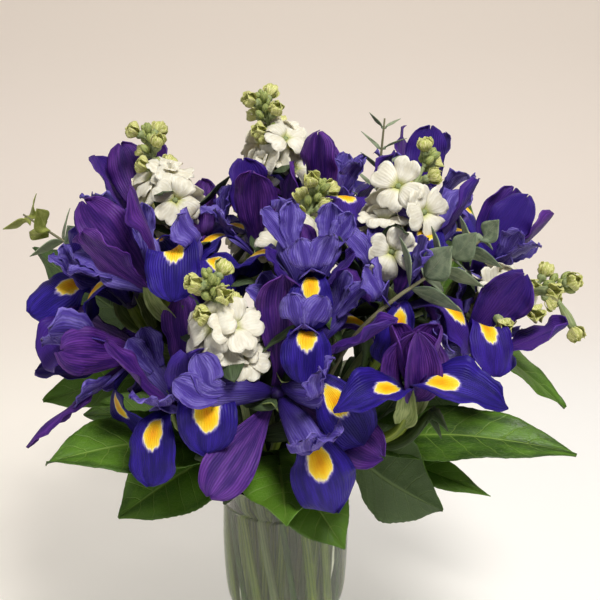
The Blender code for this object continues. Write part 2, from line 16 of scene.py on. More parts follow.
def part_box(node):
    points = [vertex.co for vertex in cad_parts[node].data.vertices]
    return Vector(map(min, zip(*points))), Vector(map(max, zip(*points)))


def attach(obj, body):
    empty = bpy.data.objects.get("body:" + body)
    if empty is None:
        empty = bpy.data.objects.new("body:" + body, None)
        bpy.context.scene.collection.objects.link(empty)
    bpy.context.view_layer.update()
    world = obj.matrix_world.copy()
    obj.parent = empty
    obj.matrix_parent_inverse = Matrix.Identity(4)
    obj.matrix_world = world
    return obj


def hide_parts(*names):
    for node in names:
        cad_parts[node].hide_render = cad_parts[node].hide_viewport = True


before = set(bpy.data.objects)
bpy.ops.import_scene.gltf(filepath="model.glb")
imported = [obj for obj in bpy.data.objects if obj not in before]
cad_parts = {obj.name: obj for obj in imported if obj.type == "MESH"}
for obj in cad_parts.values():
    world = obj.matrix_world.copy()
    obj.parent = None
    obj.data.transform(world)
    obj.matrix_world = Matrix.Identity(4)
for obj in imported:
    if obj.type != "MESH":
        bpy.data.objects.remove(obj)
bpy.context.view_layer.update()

MM = 0.001
WELD = 0.00002
UP = Vector((0, 0, 1))
# The frame's stems: their radii, their rings, and the steps that a spike's upper part is cut into.
STEM_RADIUS = {"iris": 0.0029, "stock": 0.0024, "salal": 0.0017, "eucalyptus": 0.0014}
ROUTE_RINGS = 8
SPIKE_STEPS = 6
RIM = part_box("vase")[1].z
WATER_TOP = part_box("water")[1].z
WALL = 0.0028
# A bloom's heart, where its petals join: its radius, and the heights over the seat of points on its axis.
HEART_RADIUS = 0.0042
HEART_LEVELS = (0.0003, 0.0037, 0.0071)
# How far from a stem's line its own points may lie, as a share of its radius.
SLACK = 1.02
# How thick the sheets of each slot's pieces are. The glass and the water have no sheets.
THICKNESS = {"iris_petal": 0.0005, "iris_stem": 0.0004, "stock": 0.0003, "salal": 0.0005,
             "eucalyptus": 0.0004}


# ---- reading the frame ----


def welded(node):
    """A CAD node's mesh with its loose triangles joined."""
    bm = bmesh.new()
    bm.from_mesh(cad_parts[node].data)
    bmesh.ops.remove_doubles(bm, verts=bm.verts, dist=WELD)
    bm.verts.index_update()
    return bm


def in_order(verts):
    return sorted(verts, key=lambda v: v.index)


def middle(verts):
    return sum((v.co for v in verts), Vector()) / len(verts)


def neighbours(verts, inside):
    """The points of a set that an edge joins to some of the given ones."""
    return in_order({e.other_vert(v) for v in verts for e in v.link_edges} & inside)


def centres_up(bm, sides, radius=None):
    """Centres of a stem's rings, from its cut end up. A radius tells a leafy stem's rings from its leaves."""
    ring = sorted(bm.verts, key=lambda v: v.co.z)[:sides]
    left, centres = set(bm.verts) - set(ring), [middle(ring)]
    while len(centres) < ROUTE_RINGS:
        ring = neighbours(ring, left)
        if radius:
            ring = roundest(itertools.combinations(ring, sides), radius)
        left -= set(ring)
        centres.append(middle(ring))
    return centres


def roundest(rings, radius):
    """The ring whose points lie nearest to one radius from their middle."""
    return min(rings, key=lambda ring: max(abs((v.co - middle(ring)).length - radius) for v in ring))


def spike_line(bm, radius):
    """A spike's line: its route, then even steps up to its tip."""
    points = centres_up(bm, 4)
    base = points[-1]
    way = (base - points[-2]).normalized()
    reach = max((v.co - base).dot(way) for v in bm.verts
                if (v.co - base - (v.co - base).dot(way) * way).length < radius * SLACK)
    return points + [base + way * reach * (k + 1) / SPIKE_STEPS for k in range(SPIKE_STEPS)]


def blades(bm, trunk, radius):
    """The thin blades that grow from a trunk. Each is a foot and a list of (centre, half-width vector)."""
    core = {v for v in bm.verts if any((v.co - p).length < radius * SLACK for p in trunk)}
    left, found = set(bm.verts) - core, []
    for vert in in_order(left):
        if vert not in left or not neighbours([vert], core):
            continue
        ring = [vert]
        while more := [v for v in neighbours(ring, left) if v not in ring and neighbours([v], core)]:
            ring += more
        foot, rings = middle(neighbours(ring, core)), []
        while ring:
            left -= set(ring)
            corner = ring[0].co
            # From one corner the others lie a thickness, a width and a diagonal away.
            wide = sorted((v.co - corner for v in ring), key=lambda way: way.length)[2] / 2
            if rings and wide.dot(rings[-1][1]) < 0:
                wide = -wide
            rings.append((middle(ring), wide))
            ring = neighbours(ring, left)
        found.append((foot, rings))
    return found


# ---- thin sheets and tubes ----


def through(knots, t):
    """Smooth value at t through (place, value) knots."""
    i = max([k for k in range(len(knots) - 1) if knots[k][0] <= t] or [0])
    (t0, a), (t1, b) = knots[i], knots[i + 1]
    (t_before, before), (t_after, after) = knots[max(i - 1, 0)], knots[min(i + 2, len(knots) - 1)]
    m0 = (b - before) / (t1 - t_before) * (t1 - t0)
    m1 = (after - a) / (t_after - t0) * (t1 - t0)
    s = (t - t0) / (t1 - t0)
    start = (2*s**3 - 3*s**2 + 1) * a + (s**3 - 2*s**2 + s) * m0
    return start + (3*s**2 - 2*s**3) * b + (s**3 - s**2) * m1


def frames_along(knots, count):
    """Even steps on a smooth line through (point, across) knots: point, ahead, across and face."""
    fine = 8
    line = []
    for i in range(len(knots) - 1):
        a, b, c, d = (knots[min(max(k, 0), len(knots) - 1)][0] for k in range(i - 1, i + 3))
        for s in range(fine):
            t = s / fine
            point = 0.5 * (2 * b + (c - a) * t + (2*a - 5*b + 4*c - d) * t**2 + (3*b - a - 3*c + d) * t**3)
            line.append((point, knots[i][1].lerp(knots[i + 1][1], t)))
    line.append(knots[-1])
    lengths = [0.0]
    for (p, _), (q, _) in zip(line, line[1:]):
        lengths.append(lengths[-1] + (q - p).length)
    spots, k = [], 0
    for j in range(count + 1):
        want = lengths[-1] * j / count
        while k < len(line) - 2 and lengths[k + 1] < want:
            k += 1
        share = min(1, (want - lengths[k]) / max(lengths[k + 1] - lengths[k], 1e-9))
        spots.append((line[k][0].lerp(line[k + 1][0], share), line[k][1].lerp(line[k + 1][1], share)))
    made = []
    for j, (point, across) in enumerate(spots):
        ahead = (spots[min(j + 1, count)][0] - spots[max(j - 1, 0)][0]).normalized()
        across = (across - across.dot(ahead) * ahead).normalized()
        made.append((point, ahead, across, across.cross(ahead)))
    return made


def length_of(knots):
    return sum((q[0] - p[0]).length for p, q in zip(knots, knots[1:]))


def lengthened(knots, extra):
    """Knots with one more, straight on past their end."""
    (before, _), (last, wide) = knots[-2:]
    return knots + [(last + (last - before).normalized() * extra, wide)]


def around(way, turn):
    """A direction square to a way, turned about it."""
    return Matrix.Rotation(turn, 3, way) @ way.orthogonal().normalized()


def outward(point):
    """The level way from the vase's axis to a point."""
    return Vector((point.x, point.y, 0))


def grid(bm, columns, rows, finish):
    """Adds a flat grid with a finish and a UV map, and gives its points."""
    made = bmesh.ops.create_grid(bm, x_segments=columns, y_segments=rows, size=1, calc_uvs=True)["verts"]
    for face in {f for v in made for f in v.link_faces}:
        face.material_index = finish
        face.smooth = True
    return made


def sheet(bm, knots, columns, rows, shape, finish, tint):
    """Adds a sheet along knots. shape(u, v) says how far a point lies across, along and off their line."""
    line = frames_along(knots, rows)
    dye = bm.verts.layers.float["tint"]
    for vert in grid(bm, columns, rows, finish):
        u, v = vert.co.x, (vert.co.y + 1) / 2
        point, ahead, across, out = line[round(v * rows)]
        x, y, z = shape(u, v)
        vert.co = point + across * x + ahead * y + out * z
        vert[dye] = tint


def tube(bm, points, radii, sides, rows, finish, tint=0.5):
    """Adds a closed tube along points. radii are (share of its length, radius) knots."""
    side = (points[1] - points[0]).orthogonal()
    line = frames_along([(p, side) for p in points], rows)
    dye = bm.verts.layers.float["tint"]
    made = grid(bm, sides, rows + 2, finish)
    for vert in made:
        turn, row = math.pi * vert.co.x, round((vert.co.y + 1) / 2 * (rows + 2)) - 1
        spot = min(max(row, 0), rows)
        point, _, across, out = line[spot]
        radius = 0 if row != spot else through(radii, spot / rows)
        vert.co = point + (across * math.cos(turn) + out * math.sin(turn)) * radius
        vert[dye] = tint
    bmesh.ops.remove_doubles(bm, verts=made, dist=0.000002)


def new_bmesh():
    """An empty bmesh with a UV map, and a tint on each point that sets one sheet off from the next."""
    bm = bmesh.new()
    bm.loops.layers.uv.new("UVMap")
    bm.verts.layers.float.new("tint")
    return bm


def object_of(name, bm, finishes):
    """Makes a bmesh an object with its finishes."""
    mesh = bpy.data.meshes.new(name)
    bm.to_mesh(mesh)
    bm.free()
    obj = bpy.data.objects.new(name, mesh)
    bpy.context.scene.collection.objects.link(obj)
    for finish in finishes:
        mesh.materials.append(finish)
    return obj


def piece(name, bm, finishes, nodes, slot):
    """Makes a bmesh a piece that stands for CAD nodes, with its sheets given a thickness."""
    obj = object_of(name, bm, finishes)
    if slot in THICKNESS:
        solid = obj.modifiers.new("Thickness", "SOLIDIFY")
        solid.thickness = THICKNESS[slot]
        solid.offset = 0
    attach(obj, "root")
    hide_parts(*nodes)
    return obj


# ---- finishes ----


def shade(red, green, blue):
    """A colour of 0 to 255 as Blender's linear one."""
    linear = [((c / 255 + 0.055) / 1.055) ** 2.4 if c > 10 else c / 3295 for c in (red, green, blue)]
    return (*linear, 1)


def put(tree, kind, values=None, **settings):
    """Adds a shader node, with its properties and its inputs by name or number."""
    node = tree.nodes.new("ShaderNode" + kind)
    for name, value in settings.items():
        setattr(node, name, value)
    for key, value in (values or {}).items():
        if isinstance(value, bpy.types.NodeSocket):
            tree.links.new(value, node.inputs[key])
        else:
            node.inputs[key].default_value = value
    return node


def maths(tree, kind, *values, clamp=False):
    """A number worked out from others."""
    return put(tree, "Math", dict(enumerate(values)), operation=kind, use_clamp=clamp).outputs[0]


def plus(tree, first, second):
    return maths(tree, "ADD", first, second)


def minus(tree, first, second):
    return maths(tree, "SUBTRACT", first, second)


def times(tree, first, second):
    return maths(tree, "MULTIPLY", first, second)


def rest_of(tree, share):
    """What a share leaves of one."""
    return minus(tree, 1.0, share)


def parts_of(tree, place):
    """The X, Y and Z of a place."""
    return put(tree, "SeparateXYZ", {0: place}).outputs


def moved(tree, place, tint):
    """A place moved by a tint, so that each sheet has a pattern of its own."""
    return put(tree, "VectorMath", {0: place, 1: tint}, operation="ADD").outputs[0]


def cloud(tree, place, scale, detail):
    """Soft noise from 0 to 1."""
    return put(tree, "TexNoise", {"Vector": place, "Scale": scale, "Detail": detail}).outputs[0]


def mixed(tree, share, first, second):
    """Two colours mixed by a share."""
    node = put(tree, "Mix", {0: share, 6: first, 7: second}, data_type="RGBA", clamp_result=True)
    return node.outputs[2]


def eased(tree, value, low, high):
    """0 below low, 1 above high and smooth between."""
    limits = {"Value": value, "From Min": low, "From Max": high}
    return put(tree, "MapRange", limits, interpolation_type="SMOOTHSTEP").outputs[0]


def ramp(tree, share, stops):
    """A colour ramp's colour and alpha. A stop is a place, a colour and an alpha."""
    node = put(tree, "ValToRGB", {0: share})
    bar = node.color_ramp.elements
    while len(bar) < len(stops):
        bar.new(0.5)
    for mark, (place, colour, alpha) in zip(bar, stops):
        mark.position = place
        mark.color = (*colour[:3], alpha)
    return node.outputs


def effect(name, inputs, outputs):
    """A new shader group with number or vector inputs and number outputs."""
    tree = bpy.data.node_groups.new(name, "ShaderNodeTree")
    for key, value in inputs.items():
        kind = "NodeSocketVector" if value is None else "NodeSocketFloat"
        socket = tree.interface.new_socket(key, in_out="INPUT", socket_type=kind)
        if value is not None:
            socket.default_value = value
    for key in outputs:
        tree.interface.new_socket(key, in_out="OUTPUT", socket_type="NodeSocketFloat")
    return tree, tree.nodes.new("NodeGroupInput").outputs, tree.nodes.new("NodeGroupOutput").inputs


def veins_effect():
    """Fine lines that run along a petal and waver a little, and a soft blotch."""
    sockets = {"UV": None, "Tint": 0.5, "Lines": 26.0}
    tree, given, result = effect("Petal veins", sockets, ["Lines", "Blotch"])
    shifted = moved(tree, given["UV"], given["Tint"])
    wobble = cloud(tree, shifted, 3.0, 2.0)
    parts = parts_of(tree, given["UV"])
    across = plus(tree, parts[0], times(tree, wobble, 0.12))
    wave = maths(tree, "SINE", times(tree, across, times(tree, given["Lines"], math.pi)))
    tree.links.new(maths(tree, "POWER", maths(tree, "ABSOLUTE", wave), 3.0), result["Lines"])
    spread = put(tree, "Mapping", {"Vector": shifted, "Scale": (3.0, 1.2, 1.0)}).outputs[0]
    grain = {"Vector": spread, "Scale": 2.2, "Detail": 4.0, "Roughness": 0.6}
    blotch = put(tree, "TexNoise", grain).outputs[0]
    tree.links.new(eased(tree, blotch, 0.35, 0.68), result["Blotch"])
    return tree


# The yellow flash's middle, as a share of a fall's length. A tint below SHUT_TINT, as on a bloom that is
# still shut, moves it SHUT_SHIFT nearer the foot. A low fall's tint is less by LOW_TINT, so it is moved by
# SHUT_SHIFT too, and then LOW_SHIFT further out.
FLASH_PLACE, SHUT_SHIFT, LOW_SHIFT = 0.56, 0.12, 0.25
SHUT_TINT, LOW_TINT = -0.1, 4.0
# How many times the flash's reach from its middle goes into a fall's width and into its length.
FLASH_NARROW, FLASH_SHORT = 4.4, 7.0


def blaze_effect():
    """How far a point lies from the middle of a fall's yellow flash, 1 at its rim."""
    tree, given, result = effect("Blaze", {"UV": None, "Tint": 0.5}, ["Distance"])
    parts = parts_of(tree, given["UV"])
    shifted = moved(tree, given["UV"], given["Tint"])
    rough = cloud(tree, shifted, 14.0, 2.0)
    across = times(tree, minus(tree, parts[0], 0.5), FLASH_NARROW)
    near = times(tree, maths(tree, "LESS_THAN", given["Tint"], SHUT_TINT), SHUT_SHIFT)
    low = times(tree, maths(tree, "LESS_THAN", given["Tint"], -LOW_TINT / 2), LOW_SHIFT)
    near = minus(tree, near, low)
    along = minus(tree, plus(tree, parts[1], near), FLASH_PLACE)
    narrow = plus(tree, 1.0, times(tree, along, 1.5))
    across = times(tree, across, narrow)
    along = times(tree, along, FLASH_SHORT)
    far = maths(tree, "SQRT", plus(tree, times(tree, across, across), times(tree, along, along)))
    far = plus(tree, far, times(tree, minus(tree, rough, 0.5), 0.5))
    tree.links.new(far, result["Distance"])
    return tree


def leaf_effect():
    """A leaf's midrib and side veins, and a soft blotch."""
    sockets = {"UV": None, "Tint": 0.5, "Pairs": 8.0}
    tree, given, result = effect("Leaf veins", sockets, ["Veins", "Blotch"])
    parts = parts_of(tree, given["UV"])
    shifted = moved(tree, given["UV"], given["Tint"])
    wobble = cloud(tree, shifted, 5.0, 3.0)
    off = times(tree, maths(tree, "ABSOLUTE", minus(tree, parts[0], 0.5)), 2.0)
    rise = minus(tree, parts[1], times(tree, off, 0.14))
    rise = plus(tree, rise, times(tree, minus(tree, wobble, 0.5), 0.05))
    wave = maths(tree, "SINE", times(tree, rise, times(tree, given["Pairs"], math.pi)))
    wave = maths(tree, "ABSOLUTE", wave)
    side = times(tree, rest_of(tree, eased(tree, wave, 0.0, 0.16)), rest_of(tree, times(tree, off, 0.7)))
    rib = rest_of(tree, eased(tree, off, 0.01, 0.05))
    cells = {"Vector": given["UV"], "Scale": 34.0}
    net = put(tree, "TexVoronoi", cells, feature="DISTANCE_TO_EDGE").outputs[0]
    net = times(tree, rest_of(tree, eased(tree, net, 0.0, 0.09)), 0.25)
    veins = maths(tree, "MAXIMUM", rib, maths(tree, "MAXIMUM", side, net), clamp=True)
    tree.links.new(veins, result["Veins"])
    blotch = cloud(tree, shifted, 4.0, 4.0)
    tree.links.new(eased(tree, blotch, 0.35, 0.65), result["Blotch"])
    return tree


def material_named(name, **constants):
    """A new material, its tree and its shader."""
    made = bpy.data.materials.new(name)
    made.use_nodes = True
    shader = made.node_tree.nodes["Principled BSDF"]
    for key, value in constants.items():
        shader.inputs[key.replace("_", " ")].default_value = value
    return made, made.node_tree, shader


def finish_named(name, **constants):
    """A new material, its tree, its shader, its UV map and its tint."""
    made, tree, shader = material_named(name, **constants)
    uv = put(tree, "UVMap", uv_map="UVMap").outputs[0]
    tint = put(tree, "Attribute", attribute_name="tint").outputs["Fac"]
    return made, tree, shader, uv, tint


def group_of(tree, effect_tree, values):
    return put(tree, "Group", values, node_tree=effect_tree).outputs


def finished(made, tree, shader, colour, height, depth):
    """The material with its colour and its bump joined to its shader."""
    bump = put(tree, "Bump", {"Height": height, "Distance": depth, "Strength": 1.0})
    tree.links.new(bump.outputs[0], shader.inputs["Normal"])
    tree.links.new(colour, shader.inputs["Base Color"])
    return made


# A crest, a wrapped petal and a spent one have a tint below PLAIN_TINT, and an arm has ARM_TINT or more.
PLAIN_TINT, ARM_TINT = 0.48, 0.5
PETAL = dict(Roughness=0.55, Subsurface_Weight=0.2, Subsurface_Scale=0.002, Subsurface_Radius=(0.6, 0.3, 1.0),
             Sheen_Weight=0.05, Sheen_Roughness=0.4, Sheen_Tint=(0.5, 0.4, 1.0, 1), Specular_IOR_Level=0.22)
FLESH = dict(Subsurface_Weight=0.12, Subsurface_Scale=0.001, Subsurface_Radius=(0.7, 1.0, 0.4),
             Specular_IOR_Level=0.35)


def fall_finish(veins, blaze):
    """Deep violet-blue, veined, with a yellow flash that has a pale rim."""
    made, tree, shader, uv, tint = finish_named("iris fall", **PETAL)
    lines = group_of(tree, veins, {"UV": uv, "Tint": tint, "Lines": 22.0})
    colour = mixed(tree, lines["Blotch"], shade(22, 8, 98), shade(46, 26, 144))
    colour = mixed(tree, times(tree, lines["Lines"], 0.24), colour, shade(20, 6, 74))
    colour = mixed(tree, eased(tree, tint, 0.45, 0.7), colour, shade(62, 28, 118))
    along = parts_of(tree, uv)[1]
    haft = rest_of(tree, eased(tree, along, 0.08, 0.36))
    colour = mixed(tree, times(tree, haft, 0.7), colour, shade(96, 92, 120))
    far = group_of(tree, blaze, {"UV": uv, "Tint": tint})["Distance"]
    flash = ramp(tree, times(tree, far, 0.5), [
        (0.0, shade(240, 158, 8), 1), (0.26, shade(246, 190, 14), 1), (0.42, shade(250, 214, 60), 1),
        (0.47, shade(236, 222, 176), 1), (0.51, shade(150, 138, 200), 0.7), (0.58, shade(90, 76, 170), 0)])
    colour = mixed(tree, flash["Alpha"], colour, flash["Color"])
    return finished(made, tree, shader, colour, lines["Lines"], 0.0002)


def style_finish(veins):
    """Lavender-blue, darker along the middle and, on an arm, painted darker towards its foot as the shade in
    the bloom's heart.
    """
    made, tree, shader, uv, tint = finish_named("iris style arm", **PETAL)
    lines = group_of(tree, veins, {"UV": uv, "Tint": tint, "Lines": 12.0})
    colour = mixed(tree, lines["Blotch"], shade(72, 54, 146), shade(118, 106, 186))
    colour = mixed(tree, times(tree, lines["Lines"], 0.35), colour, shade(50, 34, 118))
    place = parts_of(tree, uv)
    off = maths(tree, "ABSOLUTE", minus(tree, place[0], 0.5))
    colour = mixed(tree, rest_of(tree, eased(tree, off, 0.02, 0.16)), colour, shade(62, 46, 130))
    arm = eased(tree, tint, PLAIN_TINT, ARM_TINT)
    # Painted shade: an arm darkens to near-black violet towards its foot, in the shade of the bloom's heart.
    foot_painted_shade = times(tree, arm, rest_of(tree, eased(tree, place[1], 0.15, 1.0)))
    colour = mixed(tree, foot_painted_shade, colour, shade(34, 18, 92))
    return finished(made, tree, shader, colour, lines["Lines"], 0.0002)


def standard_finish(veins):
    """Violet-purple with long darker lines, and bluer where the tint is high."""
    made, tree, shader, uv, tint = finish_named("iris standard", **PETAL)
    lines = group_of(tree, veins, {"UV": uv, "Tint": tint, "Lines": 18.0})
    colour = mixed(tree, lines["Blotch"], shade(50, 16, 100), shade(98, 50, 142))
    colour = mixed(tree, times(tree, lines["Lines"], 0.45), colour, shade(30, 8, 72))
    colour = mixed(tree, eased(tree, tint, 0.5, 1.0), colour, shade(46, 26, 120))
    return finished(made, tree, shader, colour, lines["Lines"], 0.0002)


def green_finish(name, first, second, roughness):
    """The plain skin of a stem, bud, sheath or narrow leaf, or a bloom's heart in near-black violet painted
    shade, with soft stripes along it.
    """
    made, tree, shader, uv, tint = finish_named(name, Roughness=roughness, **FLESH)
    stretched = put(tree, "Mapping", {"Vector": uv, "Scale": (9.0, 2.0, 1.0)}).outputs[0]
    streak = cloud(tree, moved(tree, stretched, tint), 2.0, 4.0)
    colour = mixed(tree, eased(tree, streak, 0.3, 0.7), first, second)
    return finished(made, tree, shader, colour, streak, 0.0003)


def leaf_finish(name, veins, dark, light, rib, roughness, pairs):
    """A broad leaf's skin with its veins, lighter where the tint is high."""
    made, tree, shader, uv, tint = finish_named(name, Roughness=roughness, **FLESH)
    marks = group_of(tree, veins, {"UV": uv, "Tint": tint, "Pairs": pairs})
    colour = mixed(tree, marks["Blotch"], dark, light)
    colour = mixed(tree, eased(tree, tint, 0.4, 1.0), colour, light)
    colour = mixed(tree, times(tree, marks["Veins"], 0.6), colour, rib)
    return finished(made, tree, shader, colour, rest_of(tree, marks["Veins"]), 0.0004)


def stock_finish(veins):
    """Warm white, with a yellow-green foot."""
    made, tree, shader, uv, tint = finish_named("stock petal", Roughness=0.6, Subsurface_Weight=0.35,
                                                Subsurface_Scale=0.002, Subsurface_Radius=(1.0, 0.9, 0.7))
    lines = group_of(tree, veins, {"UV": uv, "Tint": tint, "Lines": 9.0})
    colour = mixed(tree, lines["Blotch"], shade(214, 208, 187), shade(234, 230, 213))
    colour = mixed(tree, times(tree, lines["Lines"], 0.15), colour, shade(208, 200, 174))
    along = parts_of(tree, uv)[1]
    foot = rest_of(tree, eased(tree, along, 0.05, 0.4))
    colour = mixed(tree, foot, colour, shade(190, 194, 112))
    return finished(made, tree, shader, colour, lines["Lines"], 0.00008)


def glass_finish(name, colour, ior):
    """A clear finish that lets the lamps' light through to what stands behind it."""
    made, tree, shader = material_named(name, Base_Color=colour, Roughness=0.0,
                                        Transmission_Weight=1.0, IOR=ior)
    clear = put(tree, "BsdfTransparent", {"Color": colour})
    shadow = put(tree, "LightPath").outputs["Is Shadow Ray"]
    either = put(tree, "MixShader", {0: shadow, 1: shader.outputs[0], 2: clear.outputs[0]})
    tree.links.new(either.outputs[0], tree.nodes["Material Output"].inputs["Surface"])
    return made


VEINS, BLAZE, LEAF_VEINS = veins_effect(), blaze_effect(), leaf_effect()
FALL = fall_finish(VEINS, BLAZE)
STYLE = style_finish(VEINS)
STANDARD = standard_finish(VEINS)
# The heart's near-black violet is painted shade: the shade deep in a bloom's middle.
HEART_PAINTED_SHADE = green_finish("iris heart in painted shade", shade(26, 12, 66), shade(52, 30, 100), 0.5)
STOCK_PETAL = stock_finish(VEINS)
IRIS_GREEN = green_finish("iris stem", shade(84, 108, 22), shade(146, 162, 60), 0.45)
SPATHE = green_finish("iris spathe", shade(110, 130, 66), shade(160, 172, 110), 0.5)
STRAP = green_finish("iris leaf", shade(38, 58, 24), shade(62, 84, 38), 0.5)
STOCK_GREEN = green_finish("stock stem", shade(112, 128, 84), shade(150, 160, 112), 0.6)
STOCK_OPENING = green_finish("stock opening", shade(158, 166, 62), shade(222, 218, 160), 0.55)
STOCK_LEAF = green_finish("stock leaf", shade(44, 58, 34), shade(74, 90, 60), 0.6)
STOCK_BUD = green_finish("stock bud", shade(104, 122, 66), shade(168, 176, 104), 0.55)
TWIG_BARK = green_finish("salal twig", shade(84, 86, 42), shade(112, 98, 60), 0.6)
GUM_BARK = green_finish("eucalyptus twig", shade(96, 92, 66), shade(122, 120, 92), 0.6)
SALAL_TOP = leaf_finish("salal leaf", LEAF_VEINS, shade(42, 72, 16), shade(84, 124, 30),
                        shade(136, 164, 76), 0.46, 9.0)
SALAL_BACK = leaf_finish("salal underside", LEAF_VEINS, shade(42, 64, 30), shade(64, 88, 44),
                         shade(104, 126, 72), 0.55, 9.0)
GUM_LEAF = leaf_finish("eucalyptus leaf", LEAF_VEINS, shade(104, 122, 98), shade(146, 160, 130),
                       shade(172, 182, 154), 0.6, 6.0)
GUM_YOUNG = leaf_finish("young eucalyptus leaf", LEAF_VEINS, shade(124, 134, 52), shade(156, 162, 84),
                        shade(176, 180, 110), 0.6, 6.0)
GLASS = glass_finish("vase glass", (0.96, 0.99, 0.97, 1), 1.45)
WATER = glass_finish("water", (0.90, 0.93, 0.74, 1), 1.33)


# ---- irises ----


def facing_up(foot, rings, way):
    """Knots of a blade whose upper side looks one way where it starts."""
    ahead = (rings[0][0] - foot).normalized()
    turn = 1 if rings[0][1].cross(ahead).dot(way) > 0 else -1
    return [(foot, rings[0][1] * turn)] + [(centre, wide * turn) for centre, wide in rings]


def wavy(dice, waves, power):
    """A wave along a petal's edges that grows towards them, different on each side."""
    phase = [dice.uniform(0, math.tau) for _ in range(4)]
    count = [waves * dice.uniform(0.8, 1.25) for _ in range(2)]

    def lift(u, v):
        k = u > 0
        wave = math.sin(math.tau * count[k] * v + phase[k])
        wave += 0.4 * math.sin(2.3 * math.tau * count[k] * v + phase[k + 2])
        return abs(u) ** power * wave

    return lift


# Outlines of an iris's petals: half widths in mm at shares of the length.
FALL_HALF = [(0, 2.4), (0.15, 3.6), (0.36, 5.2), (0.48, 9.0), (0.62, 13.4), (0.77, 14.2), (0.9, 11.6),
             (0.97, 7.0), (1, 1.5)]
BOAT_HALF = [(0, 2.4), (0.15, 4.8), (0.34, 9.6), (0.5, 13.6), (0.62, 13.8), (0.76, 11.0), (0.9, 5.8),
             (1, 0.5)]
BUD_HALF = [(0, 3.0), (0.2, 7.5), (0.5, 10.5), (0.75, 8.0), (0.93, 3.6), (1, 0.8)]
WILTED_HALF = [(0, 2.2), (0.3, 3.6), (0.6, 5.2), (0.85, 4.6), (0.95, 2.8), (1, 0.5)]
STYLE_HALF = [(0, 2.4), (0.2, 4.4), (0.55, 6.4), (0.82, 6.6), (0.94, 4.8), (1, 2.2)]
LOBE_HALF = [(0, 2.4), (0.15, 4.0), (0.4, 6.0), (0.66, 7.0), (0.85, 5.6), (0.95, 3.4), (1, 0.8)]
STANDARD_HALF = [(0, 2.2), (0.14, 3.2), (0.34, 7.6), (0.56, 12.0), (0.76, 13.6), (0.9, 10.6), (0.97, 6.2),
                 (1, 1.6)]
# How far back from an arm's end its crest is rooted, and how far a petal runs on past its blade.
LOBE_ROOT, PETAL_EXTRA = 0.007, 0.003


def add_fall(bm, knots, size, dice, closed, low):
    """A fall: a narrow haft, then a broad blade. On a shut bloom it is pointed and folded like a boat."""
    edge, sway = wavy(dice, 2.6, 2.6), dice.uniform(-1, 1)
    outline, roll = (BOAT_HALF, 0.5) if closed else (FALL_HALF, dice.uniform(-0.34, 0.1))

    def shape(u, v):
        half = through(outline, v) * size
        blade = min(1, max(0, (v - 0.36) / 0.2))
        cup = 0.30 * u * u * half * (1 - blade) + roll * u * u * half * blade
        groove = -0.5 * math.exp(-(u * half / 1.6) ** 2) * (1 - blade)
        ridge = groove + 0.5 * math.exp(-(u * half / 2.4) ** 2) * blade
        x = u * half + sway * 1.5 * math.sin(math.pi * v)
        return x * MM, 0, (cup + ridge + edge(u, v) * 2.3 * blade * size) * MM

    sheet(bm, knots, 12, 26, shape, 0, dice.random() * 0.7 - closed - LOW_TINT * low)


def add_style(bm, knots, size, dice, closed):
    """A style arm, arched over the fall's haft, and the two frilled lobes of its crest."""
    tint = dice.random() * PLAIN_TINT
    finish = 2 if closed else 1

    def shape(u, v):
        half = through(STYLE_HALF, v) * size
        return u * half * MM, 0, (-0.5 * u * u * half + 0.5 * math.exp(-(u * half / 1.4) ** 2)) * MM

    (before, _), (brow, _), (tip, across) = knots[-3:]
    sheet(bm, knots[:-1], 10, 16, shape, finish, tint + ARM_TINT)
    if closed:
        return
    across, ahead = across.normalized(), (brow - before).normalized()
    back = (tip - brow).normalized()
    out = across.cross(back)
    for side in (-1, 1):
        edge, spread = wavy(dice, 2.4, 1.8), dice.uniform(0.15, 0.45) * side
        reach = (tip - brow).length * 0.75 + dice.uniform(1, 4) * size * MM
        way = (back * math.cos(spread) + across * math.sin(spread)).normalized()
        root = brow - ahead * LOBE_ROOT * size + across * side * 2.4 * size * MM
        crown = brow + across * side * 3.0 * size * MM + (back - ahead * 0.3) * 0.002
        bend = -out * dice.uniform(-0.15, 0.45) * reach
        lobe = [(root, across), (crown, across), (crown + way * reach * 0.5 + bend * 0.2, across),
                (crown + way * reach + bend, across)]
        fold = dice.uniform(0.1, 0.45) * side

        def frill(u, v):
            half = through(LOBE_HALF, v) * size
            ripple = 1.1 * abs(u) ** 3 * math.sin(23 * u + 31 * v)
            lift = (0.3 * u * u + fold * u) * half + edge(u, v) * 1.7 * v + ripple * v
            return u * half * MM, 1.3 * abs(u) * math.sin(19 * u + 3) * v * MM, lift * MM

        sheet(bm, lobe, 12, 18, frill, 1, tint)


def add_standard(bm, knots, size, dice, closed):
    """A standard: an upright petal, hollow along its middle, with a notch at its tip."""
    edge, twist = wavy(dice, 2.2, 2.2), dice.uniform(-1, 1)
    notch = dice.uniform(1, 4)
    hollow = dice.uniform(0.05, 0.42)

    def shape(u, v):
        half = through(STANDARD_HALF, v) * size
        cup = (hollow + 0.7 * closed) * u * u * half + 1.1 * math.exp(-(u * half / 2.2) ** 2)
        lean = (0.3 * twist * u * half + 0.8 * math.sin(7 * u + 5 * v + notch) * abs(u)) * v
        dip = -notch * max(0, v - 0.85) / 0.15 * max(0, 1 - abs(u) * 3)
        lift = cup + lean + edge(u, v) * (3.0 - 2.4 * closed) * v * size
        return u * half * (1 + 0.05 * closed) * MM, dip * MM, lift * MM

    sheet(bm, knots, 14, 26, shape, 2, dice.random())


